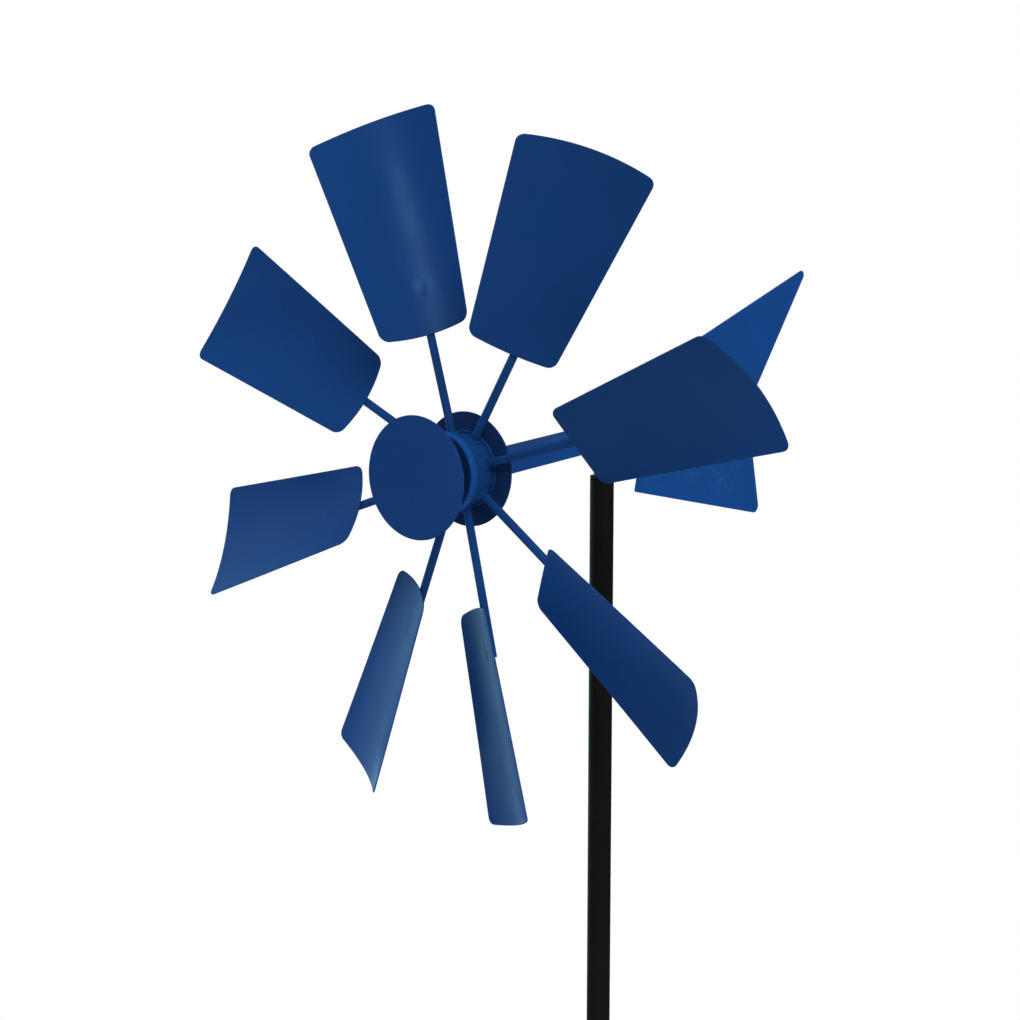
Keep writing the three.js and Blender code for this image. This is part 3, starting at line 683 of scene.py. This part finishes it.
def make_rotor():
    barrel = about_rotor("hub_barrel")[0]
    for i, arm in enumerate(BLADES):
        make_arm(i + 1, arm, barrel)

    def turned(node, material, bore, fillet):
        radius, front, back = about_rotor(node)
        if bore:
            shape = tube(radius, bore, front, back, fillet)
        else:
            shape = rod(radius, front, back, fillet, FINE)
        return make(node + "_turned", "rotor", material, shape, AT_ROTOR, [node])

    turned("hub_barrel", HUB_BLUE, bore=14.3, fillet=0.8)
    # painted light: the flange ring takes the brighter copy of the blue for its lit rim
    ring = turned("hub_flange", PAINTED_LIGHT_BLUE, bore=19.0, fillet=3.2)
    ring.data.materials.append(HUB_PAINTED_SHADE)
    for face in ring.data.polygons:  # painted shade: the forward faces in the recess behind the front disc get the darker copy, for the disc's shadow
        face.material_index = int(face.normal.y < -SHADE_FACING)
    # painted shade: the nose tube gets the darker copy, for the shadow of the front disc
    turned("nose_tube", HUB_PAINTED_SHADE, bore=16.7, fillet=0.5)
    turned("front_disc", HUB_BLUE, bore=0, fillet=0.6)
    # painted shade: the rear disc is given the darker copy of the hub blue
    turned("rear_disc", REAR_DISC_PAINTED_SHADE, bore=17.3, fillet=0.6)
    radius, start, end = about_rotor("hub_bush_rear")
    shape = tube(radius, BORE, end - 1.5, end, 0.3, SMALL)
    collar = tube(14.0, BORE, start, end - 1.4, 0.3, SMALL)
    make("hub_bush_rear_moulded", "rotor", NYLON, joined([shape, collar]), AT_ROTOR,
         ["hub_bush_rear"])
    disc_back = about_rotor("front_disc")[2]
    flange = about_rotor("hub_flange")
    nose = about_rotor("nose_tube")[0]
    disc_front = about_rotor("rear_disc")[1]
    seams = [
        ring_bead(nose + 0.8, disc_back + 0.6, 1.2, seed=21),
        ring_bead(nose + 0.8, flange[1] - 0.5, 1.3, seed=22),
        ring_bead(barrel + 0.7, flange[2] + 0.7, 1.4, seed=23),
        ring_bead(barrel + 0.8, disc_front - 0.6, 1.5, seed=24),
    ]
    make("hub_welds", "rotor", HUB_BLUE, joined(seams), AT_ROTOR, sharp=60, worn=False)


# ------------------------------------------------------------------ head
RISE = math.radians(2.9)
DROP = 1.8  # the boom's middle line starts this far below the rotor's axis
BOOM_FRAME = AT_ROTOR @ Matrix.Translation((0, 0, -DROP)) @ Matrix.Rotation(RISE, 4, "X")
BOOM_HALF, BOOM_WALL, BOOM_START, BOOM_END = 10.5, 1.5, 17.0, 385.0
SLIT_START, SLIT_WIDTH = 266.0, 2.6
FIN_SHEET = 2.0
SLEEVE_BORE = 6.5
FIN_CORNERS = [
    (252, -61.3, 2.5), (468, -121.9, 7), (448.2, -9.2, 2), (566.2, 122.7, 4.6), (291.2, 52.9, 2.5)]
TAIL_BOLTS = (295, 328, 361)
TAIL_BORE, TAIL_HEX = 3.3, 10
ALONG_X = Matrix.Rotation(-math.pi / 2, 4, "Z")


def block(low, high):
    """A plain cutting block between two corners."""
    (x0, y0, z0), (x1, y1, z1) = low, high
    bottom = [(x0, y0, z0), (x1, y0, z0), (x1, y1, z0), (x0, y1, z0)]
    return loft([bottom, [(x, y, z1) for x, y, _ in bottom]], cap=True)


def square(half, fillet):
    """The corners of a square with rounded corners."""
    return [(x * half, y * half, fillet) for x, y in ((-1, -1), (1, -1), (1, 1), (-1, 1))]


def boom_shape():
    outer = rounded(square(BOOM_HALF, 2.0), steps=5)
    inner = rounded(square(BOOM_HALF - BOOM_WALL, 0.8), steps=5)

    def ring(outline, station):
        front = station == BOOM_START
        return [(x, station + (z * math.tan(RISE) if front else 0), z) for x, z in outline]

    stations = [BOOM_START, BOOM_START + HOLD] + [60 + 50 * k for k in range(7)] + [BOOM_END]
    walls = [loft([ring(o, s) for s in stations]) for o in (outer, inner)]
    ends = [loft([ring(outer, s), ring(inner, s)]) for s in (BOOM_START, BOOM_END)]
    return moved_clean(joined(walls + ends), Matrix())


def make_boom():
    reach = 2 * BOOM_HALF
    slit = block((-SLIT_WIDTH / 2, SLIT_START, -reach), (SLIT_WIDTH / 2, BOOM_END + 5, reach))
    into_boom = BOOM_FRAME.inverted()
    radius = extents("yaw_sleeve", 0)[1]
    hole = lathe([(0, -reach), (radius + 0.3, -reach), (radius + 0.3, reach), (0, reach)], SMALL)
    sleeve = moved(hole, into_boom @ Matrix.Translation(PIVOT) @ UPRIGHT)
    bolts = []
    for along in TAIL_BOLTS:
        bore = lathe([(0, -reach), (TAIL_BORE, -reach), (TAIL_BORE, reach), (0, reach)], 32)
        bolts.append(moved(bore, Matrix.Translation((0, along, 0)) @ ALONG_X))
    shape = carved(boom_shape(), [slit, sleeve, *bolts])
    # painted light: the boom takes the brighter copy of the blue
    make("boom_tube", "head", PAINTED_LIGHT_BLUE, shape, BOOM_FRAME, ["boom"], 30)


def make_fin():
    stand = Matrix(((0, 0, 1, 0), (1, 0, 0, 0), (0, 1, 0, 0), (0, 0, 0, 1)))  # x to y, y to z
    flat = plate(rounded(FIN_CORNERS, steps=8), FIN_SHEET, 0.7)
    bores = []
    for along in TAIL_BOLTS:
        bore = lathe([(0, -5), (TAIL_BORE, -5), (TAIL_BORE, 5), (0, 5)], 32)
        bores.append(moved(bore, Matrix.Translation((along, 0, 0)) @ UPRIGHT))
    shape = carved(flat, bores)
    # painted light: the fin takes the brighter copy of the blue
    make("tail_fin_sheet", "head", PAINTED_LIGHT_BLUE, shape, BOOM_FRAME @ stand,
         ["tail_fin"], 45)


def make_tail_fasteners():
    for i, along in enumerate(TAIL_BOLTS):
        here = BOOM_FRAME @ Matrix.Translation((0, along, 0)) @ ALONG_X
        seat = BOOM_HALF + 0.3
        head = hex_body(TAIL_HEX, seat, seat + 4, 0, False, True)
        shank = rod(2.95, -seat - 4.5, seat + 1, 0.2, 32)
        thread = threaded(3.0, -seat - 4.4, -seat - 7.5, 1.0, 32)
        bolt = joined([head, shank, thread])
        name = f"tail_bolt_{i + 1}"
        make(name + "_zinc", "head", ZINC, bolt, here, [name], 28)
        name = f"tail_nut_{i + 1}"
        shape = hex_body(TAIL_HEX, -seat - 5, -seat, 3.05, True, True)
        make(name + "_zinc", "head", ZINC, shape, here, [name], 28)


def make_head():
    make_boom()
    make_fin()
    make_tail_fasteners()
    radius, bottom, top = upright_sizes("yaw_sleeve")
    shape = tube(radius, SLEEVE_BORE, bottom, top, 0.5)
    # painted light: the sleeve and its welds below take the brighter copy of the blue
    make("yaw_sleeve_turned", "head", PAINTED_LIGHT_BLUE, shape, UPRIGHT, ["yaw_sleeve"])
    rise = math.tan(RISE) * -ROTOR.y - DROP
    lips = [PIVOT.z + rise - BOOM_HALF - 0.6, PIVOT.z + rise + BOOM_HALF + 0.6]
    seams = [sloped(ring_bead(radius + 0.7, lip, 1.5, 31 + i)) for i, lip in enumerate(lips)]
    make("yaw_sleeve_welds", "head", PAINTED_LIGHT_BLUE, joined(seams), UPRIGHT,
         sharp=60, worn=False)
    for node, flange_up in (("yaw_bush_bottom", False), ("yaw_bush_top", True)):
        radius, bottom, top = upright_sizes(node)
        lip = (top - 2, top) if flange_up else (bottom, bottom + 2)
        stem = (bottom, top - 1.9) if flange_up else (bottom + 1.9, top)
        stem_radius = SLEEVE_BORE - 0.3
        flange = tube(radius, BORE, *lip, 0.3, SMALL)
        shape = joined([flange, tube(stem_radius, BORE, *stem, 0.3, SMALL)])
        make(node + "_moulded", "head", NYLON, shape, UPRIGHT, [node])
    make("boom_front_plug_block", "head", ZINC, boom_plug(), Matrix(),
         ["boom_front_plug"], 30)
    for node in ("axle_spacer", "rear_thrust_washer"):
        radius, front, back = about_rotor(node)
        shape = tube(radius, BORE, front, back, 0.2, SMALL)
        make(node + "_turned", "head", ZINC, shape, AT_ROTOR, [node])


def sloped(shape):
    """Tilts a ring round the sleeve to lie along the rising boom."""
    vertices, faces = shape
    slope = math.tan(RISE)
    return [(x, y - slope * z, z) for x, y, z in vertices], faces


def boom_plug():
    """The boom's front plug: a rounded flange and a block inside the tube."""
    low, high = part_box("boom_front_plug")
    centre = (low.z + high.z) / 2 / MM
    front, back = low.y / MM, high.y / MM
    parts = []
    step = front + 3
    for half, start, end, fillet in ((BOOM_HALF, front, step, 2.0), (8.1, step, back, 1.0)):
        flat = plate(rounded(square(half, fillet)), end - start, 0.4)
        middle = Matrix.Translation((0, (start + end) / 2, centre))
        parts.append(moved(flat, middle @ Matrix.Rotation(-math.pi / 2, 4, "X")))
    return joined(parts)


# ------------------------------------------------------------------ post and foot
M8, M8_PITCH = 4, 1.25  # the pivot pin's thread: radius and pitch
POINT = 1.2  # radius of a spike's blunt tip
PRONG_TAPER = 32  # the prong's point is this long
SPIKE_TAPER = 60  # the centre spike keeps its full radius this far below the post


def make_pivot():
    for node in ("pivot_thrust_washer", "pivot_top_washer"):
        radius, bottom, top = upright_sizes(node)
        shape = tube(radius, BORE, bottom, top, 0.25, SMALL)
        make(node + "_turned", "post", ZINC, shape, UPRIGHT, [node])
    _, bottom, top = upright_sizes("pivot_lock_nut")
    bore, seat = 4.05, top - 2.6
    nut = hex_body(13, bottom, top - 2.4, bore, True, True)
    collar = [(bore, seat, 0), (5.9, seat, 0), (5.6, top, 0.9), (bore, top, 0.3)]
    crown = lathe(rounded(collar), SMALL)
    make("pivot_lock_nut_zinc", "post", ZINC, joined([nut, crown]), UPRIGHT,
         ["pivot_lock_nut"], 28)
    _, pin_bottom, pin_top = upright_sizes("pivot_pin")
    shank = rod(M8, pin_bottom + 4, pin_top - 14, 0.3)
    thread = threaded(M8, pin_top - 14.2, pin_top, M8_PITCH)
    head = rod(6.5, pin_bottom, pin_bottom + 5, 0.6)
    make("pivot_pin_zinc", "post", ZINC, joined([shank, thread, head]), UPRIGHT,
         ["pivot_pin"], 28)
    radius, bottom, top = upright_sizes("post_top_plug")
    lip = tube(radius, BORE, top - 3, top, 0.8)
    stem = tube(INSIDE_POST, BORE, bottom, top - 2.9, 0.3, SMALL)
    make("post_top_plug_turned", "post", POST_BLACK, joined([lip, stem]), UPRIGHT,
         ["post_top_plug"])


def make_post():
    for node in ("post_upper", "post_lower"):
        radius, bottom, top = upright_sizes(node)
        shape = tube(radius, radius - POST_WALL, bottom, top, 0.35)
        make(node + "_tube", "post", POST_BLACK, shape, UPRIGHT, [node])
    for node in ("joiner_screw_lower", "joiner_screw_upper"):
        low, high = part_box(node)
        height = (low.z + high.z) / 2 / MM
        face = high.y / MM
        # radius, depth below the face, rounding: the shank, the domed head and its round recess
        dome = [(0, 12.6, 0), (2.4, 12.6, 0.3), (2.4, 2.6, 0), (4.6, 2.6, 0.2), (4.3, 1.1, 0.6),
                (2.6, 0.2, 1.0), (2.1, 0.15, 0.1), (1.7, 1.2, 0.1), (0, 1.2, 0)]
        profile = [(radius, face - depth, fillet) for radius, depth, fillet in dome]
        shape = lathe(rounded(profile, closed=False), SMALL)
        at_screw = Matrix.Translation((0, 0, height))
        make(node + "_zinc", "post", ZINC, shape, at_screw, [node])


def make_foot():
    post_radius = extents("post_lower", 0)[1]
    seams = []
    for side, turn in (("right", 0), ("left", math.pi)):
        low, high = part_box(f"step_{side}")
        near, far = sorted(abs(x) / MM for x in (low.x, high.x))
        half, thick = high.y / MM, high.z / MM
        # a corner rounded tighter than the rolled edge and its loop makes the plate cross itself
        corners = [(near, -half, 2.2), (far, -half, 8.0), (far, half, 8.0), (near, half, 2.2)]
        gap = post_radius + 0.3
        saddle = lathe([(0, -20), (gap, -20), (gap, 20), (0, 20)], FINE)
        flat = carved(plate(rounded(corners, steps=6), thick, 0.9), [moved(saddle, UPRIGHT)])
        spin = Matrix.Rotation(turn, 4, "Z")
        place = spin @ Matrix.Translation((0, 0, thick / 2))
        node = f"step_{side}"
        make(node + "_plate", "post", POST_BLACK, flat, place, [node], 30)
        node = f"prong_{side}"
        radius = extents(node, 1)[1]
        bottom, top = extents(node, 2)
        offset = sum(extents(node, 0)) / 2
        profile = [(0, bottom, 0), (POINT, bottom, 0.5), (radius, bottom + PRONG_TAPER, 6.0),
                   (radius, top, 0.3), (0, top, 0)]
        prong = lathe(rounded(profile, closed=False), SMALL)
        at_prong = Matrix.Translation((offset, 0, 0)) @ UPRIGHT
        make(node + "_rod", "post", POST_BLACK, prong, at_prong, [node])
        seams.append(moved(ring_bead(radius + 0.6, -0.9, 1.3, 41, 48), at_prong))
    seams.append(moved(ring_bead(post_radius + 0.6, thick + 0.7, 1.6, 43), UPRIGHT))
    seams.append(moved(ring_bead(post_radius + 0.6, -0.8, 1.6, 44), UPRIGHT))
    radius, bottom, top = upright_sizes("centre_spike")
    lap = extents("post_lower", 2)[0] - 0.3
    profile = [(0, bottom, 0), (POINT, bottom, 0.5), (radius, lap - SPIKE_TAPER, 12.0),
               (radius, lap, 0.4), (INSIDE_POST, lap, 0.1), (INSIDE_POST, top, 0.4), (0, top, 0)]
    spike = lathe(rounded(profile, closed=False), FINE)
    make("centre_spike_turned", "post", POST_BLACK, spike, UPRIGHT, ["centre_spike"])
    make("foot_welds", "post", POST_BLACK, joined(seams), sharp=60, worn=False)


def dress_kept_nodes():
    """Gives the CAD nodes that stay their finish."""
    finishes = {"zinc_steel": ZINC, "nylon": NYLON}
    kept = {
        "axle_bolt": "zinc_steel", "front_thrust_washer": "zinc_steel",
        "hub_lock_nut": "zinc_steel", "hub_bush_front": "nylon", "post_joiner": "zinc_steel",
    }
    for node, slot in kept.items():
        piece = frame["nodes"][node]
        piece.data.materials.clear()
        piece.data.materials.append(finishes[slot])


# ------------------------------------------------------------------ studio
def make_floor():
    low = CAD_BOX[0].z / MM - 0.6
    disc = lathe([(0, low - 20), (1800, low - 20), (1800, low), (0, low)], 128)
    vertices, faces = moved(disc, UPRIGHT)
    mesh = bpy.data.meshes.new("floor")
    mesh.from_pydata([Vector(v) * MM for v in vertices], [], faces)
    mesh.materials.append(studio_floor())
    floor = bpy.data.objects.new("floor", mesh)
    bpy.context.scene.collection.objects.link(floor)
    floor.visible_glossy = False


def make_lamp(name, kind, energy, towards, size, place=None, colour=(1, 1, 1), sheen=True):
    data = bpy.data.lights.new(name, kind)
    data.energy = energy
    data.color = colour
    if kind == "SUN":
        data.angle = size
    else:
        data.shape, data.size = "SQUARE", size
    lamp = bpy.data.objects.new(name, data)
    lamp.rotation_mode = "QUATERNION"
    lamp.rotation_quaternion = Vector(towards).to_track_quat("-Z", "Y")
    lamp.location = place or (0, 0, 3)
    lamp.visible_camera = False
    lamp.visible_glossy = sheen
    bpy.context.scene.collection.objects.link(lamp)


def make_studio():
    """A white sweep: the backdrop is white to the camera and a dim sky to the paint."""
    world = bpy.data.worlds.new("studio")
    bpy.context.scene.world = world
    world.use_nodes = True
    nodes, links = world.node_tree.nodes, world.node_tree.links
    nodes.clear()
    path = nodes.new("ShaderNodeLightPath")
    shares = ((None, 0.38), ("Is Glossy Ray", 0.06), ("Is Camera Ray", 1.0))
    result = None
    for ray, strength in shares:
        sky = nodes.new("ShaderNodeBackground")
        sky.inputs["Color"].default_value = (1, 1, 1, 1)
        sky.inputs["Strength"].default_value = strength
        if result is None:
            result = sky.outputs["Background"]
            continue
        mix = nodes.new("ShaderNodeMixShader")
        links.new(path.outputs[ray], mix.inputs["Fac"])
        links.new(result, mix.inputs[1])
        links.new(sky.outputs["Background"], mix.inputs[2])
        result = mix.outputs["Shader"]
    links.new(result, nodes.new("ShaderNodeOutputWorld").inputs["Surface"])
    bpy.context.scene.view_settings.view_transform = "Standard"
    make_floor()
    make_lamp("key_light", "SUN", 2.1, (-0.75, 0.45, -0.75), math.radians(28), sheen=False)
    make_lamp("fill_light", "SUN", 2.6, (0.98, 0.1, -0.05), math.radians(40), sheen=False)
    make_lamp("top_light", "SUN", 0.45, (0, 0, -1), math.radians(60), sheen=False)
    lamp_at("side_box", energy=22, azimuth=-101, elevation=-3, distance=3.4, size=3.2,
            colour=(0.31, 0.7, 1.0))
    lamp_at("strip_box", energy=4.6, azimuth=10, elevation=15, distance=2.6, size=0.35,
            colour=(0.3, 0.62, 1.0))


def lamp_at(name, energy, azimuth, elevation, distance, size, colour):
    """A soft box facing the rotor, from a direction counted from straight in front of it."""
    a, e = math.radians(azimuth), math.radians(elevation)
    away = Vector((math.sin(a) * math.cos(e), -math.cos(a) * math.cos(e), math.sin(e)))
    make_lamp(name, "AREA", energy, -away, size, ROTOR * MM + away * distance, colour)


def make_camera():
    """The photograph's view, placed from the rotor's centre."""
    yaw, pitch = math.radians(38.94), math.radians(9.52)
    level = math.cos(pitch)
    ahead = Vector((-math.sin(yaw) * level, math.cos(yaw) * level, -math.sin(pitch)))
    right = Vector((math.cos(yaw), math.sin(yaw), 0))
    up = right.cross(ahead)
    data = bpy.data.cameras.new("camera")
    data.lens, data.sensor_width = 76.60, 36.0
    camera = bpy.data.objects.new("camera", data)
    turn = Matrix((right, up, -ahead)).transposed().to_4x4()
    away = Vector((1.1820, -1.3952, 0.2721))
    camera.matrix_world = Matrix.Translation(ROTOR * MM + away) @ turn
    bpy.context.scene.collection.objects.link(camera)
    bpy.context.scene.camera = camera


make_rotor()
make_head()
make_pivot()
make_post()
make_foot()
dress_kept_nodes()
make_studio()
make_camera()
